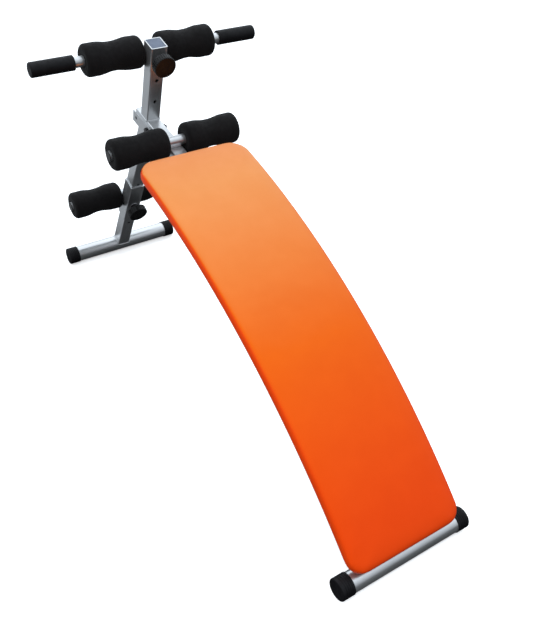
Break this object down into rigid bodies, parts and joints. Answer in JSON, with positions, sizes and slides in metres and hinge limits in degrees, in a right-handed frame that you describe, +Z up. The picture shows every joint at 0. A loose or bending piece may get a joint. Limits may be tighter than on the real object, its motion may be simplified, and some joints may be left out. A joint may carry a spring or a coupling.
{
  "type": "decline sit up bench",
  "caption": "Arched padded sit-up board on a curved steel spine with foot bars, a folding leg and height-adjustable foam ankle rollers with a handle bar.",
  "frame": {"origin": "on the floor, midway between the two foot bars, on the centre plane", "axes": "+X the right of the bench, +Y from the low end of the board to the high end with the handle bar, +Z up"},
  "size_m": [0.648, 1.554, 0.842],
  "materials": {
    "silver_paint": "gloss",
    "orange_vinyl": "satin",
    "plywood": "matte",
    "black_foam": "matte",
    "black_rubber": "satin",
    "black_plastic": "satin",
    "grey_plastic": "satin",
    "black_steel": "satin"
  },
  "bodies": {
    "frame": {"main_beam": "silver_paint", "beam_end_plug": "grey_plastic", "low_foot_tube": "silver_paint", "low_foot_cap_left": "black_rubber", "low_foot_cap_right": "black_rubber", "board_base": "plywood", "board_pad": "orange_vinyl", "board_saddle_low": "silver_paint", "board_saddle_mid": "silver_paint", "board_saddle_high": "silver_paint", "board_bolts": "black_steel", "mid_roller_tube": "silver_paint", "mid_tube_plugs": "black_plastic", "upright_post": "silver_paint", "post_top_plug": "grey_plastic", "pivot_bolt": "black_steel", "pivot_nut": "black_steel"},
    "rear_leg": {"leg_tube": "silver_paint", "leg_bracket": "silver_paint", "high_foot_tube": "silver_paint", "high_foot_cap_left": "black_rubber", "high_foot_cap_right": "black_rubber"},
    "upper_slider": {"upper_sleeve": "silver_paint", "handle_tube": "silver_paint", "grip_left": "black_rubber", "grip_right": "black_rubber", "upper_pin_barrel": "black_steel"},
    "upper_pull_pin": {"upper_pin": "black_steel"},
    "upper_pull_knob": {"upper_knob": "black_plastic"},
    "lower_slider": {"lower_sleeve": "silver_paint", "lower_roller_tube": "silver_paint", "lower_tube_plugs": "black_plastic", "lower_pin_barrel": "black_steel"},
    "lower_pull_pin": {"lower_pin": "black_steel"},
    "lower_pull_knob": {"lower_knob": "black_plastic"},
    "upper_roller_left": {"upper_foam_left": "black_foam"},
    "upper_roller_right": {"upper_foam_right": "black_foam"},
    "mid_roller_left": {"mid_foam_left": "black_foam"},
    "mid_roller_right": {"mid_foam_right": "black_foam"},
    "lower_roller_left": {"lower_foam_left": "black_foam"},
    "lower_roller_right": {"lower_foam_right": "black_foam"}
  },
  "joints": [
    {"name": "leg_fold", "type": "hinge", "parent": "frame", "child": "rear_leg", "pos_m": [0, 0.42361, 0.58106], "axis": [-1, 0, 0], "range_deg": [0, 85]},
    {"name": "upper_slide", "type": "slide", "parent": "frame", "child": "upper_slider", "axis": [0, -0.2588, 0.9659], "range_m": [-0.134, 0]},
    {"name": "lower_slide", "type": "slide", "parent": "rear_leg", "child": "lower_slider", "axis": [0, -0.4602, 0.8878], "range_m": [-0.106, 0.178]},
    {"name": "upper_pin_pull", "type": "slide", "parent": "upper_slider", "child": "upper_pull_pin", "axis": [0, -0.9659, -0.2588], "range_m": [0, 0.01], "stiffness_N_per_m": 1000, "springref_m": -0.005},
    {"name": "upper_knob_turn", "type": "hinge", "parent": "upper_pull_pin", "child": "upper_pull_knob", "pos_m": [0, 0.34844, 0.78558], "axis": [0, -0.9659, -0.2588], "continuous": true},
    {"name": "lower_pin_pull", "type": "slide", "parent": "lower_slider", "child": "lower_pull_pin", "axis": [0, -0.8878, -0.4602], "range_m": [0, 0.01], "stiffness_N_per_m": 1000, "springref_m": -0.005},
    {"name": "lower_knob_turn", "type": "hinge", "parent": "lower_pull_pin", "child": "lower_pull_knob", "pos_m": [0, 0.58786, 0.2262], "axis": [0, -0.8878, -0.4602], "continuous": true},
    {"name": "upper_roller_left_spin", "type": "hinge", "parent": "upper_slider", "child": "upper_roller_left", "pos_m": [-0.1045, 0.43702, 0.8], "axis": [1, 0, 0], "continuous": true},
    {"name": "upper_roller_right_spin", "type": "hinge", "parent": "upper_slider", "child": "upper_roller_right", "pos_m": [0.1045, 0.43702, 0.8], "axis": [1, 0, 0], "continuous": true},
    {"name": "mid_roller_left_spin", "type": "hinge", "parent": "frame", "child": "mid_roller_left", "pos_m": [-0.1045, 0.30671, 0.59421], "axis": [1, 0, 0], "continuous": true},
    {"name": "mid_roller_right_spin", "type": "hinge", "parent": "frame", "child": "mid_roller_right", "pos_m": [0.1045, 0.30671, 0.59421], "axis": [1, 0, 0], "continuous": true},
    {"name": "lower_roller_left_spin", "type": "hinge", "parent": "lower_slider", "child": "lower_roller_left", "pos_m": [-0.1045, 0.67129, 0.25931], "axis": [1, 0, 0], "continuous": true},
    {"name": "lower_roller_right_spin", "type": "hinge", "parent": "lower_slider", "child": "lower_roller_right", "pos_m": [0.1045, 0.67129, 0.25931], "axis": [1, 0, 0], "continuous": true}
  ]
}
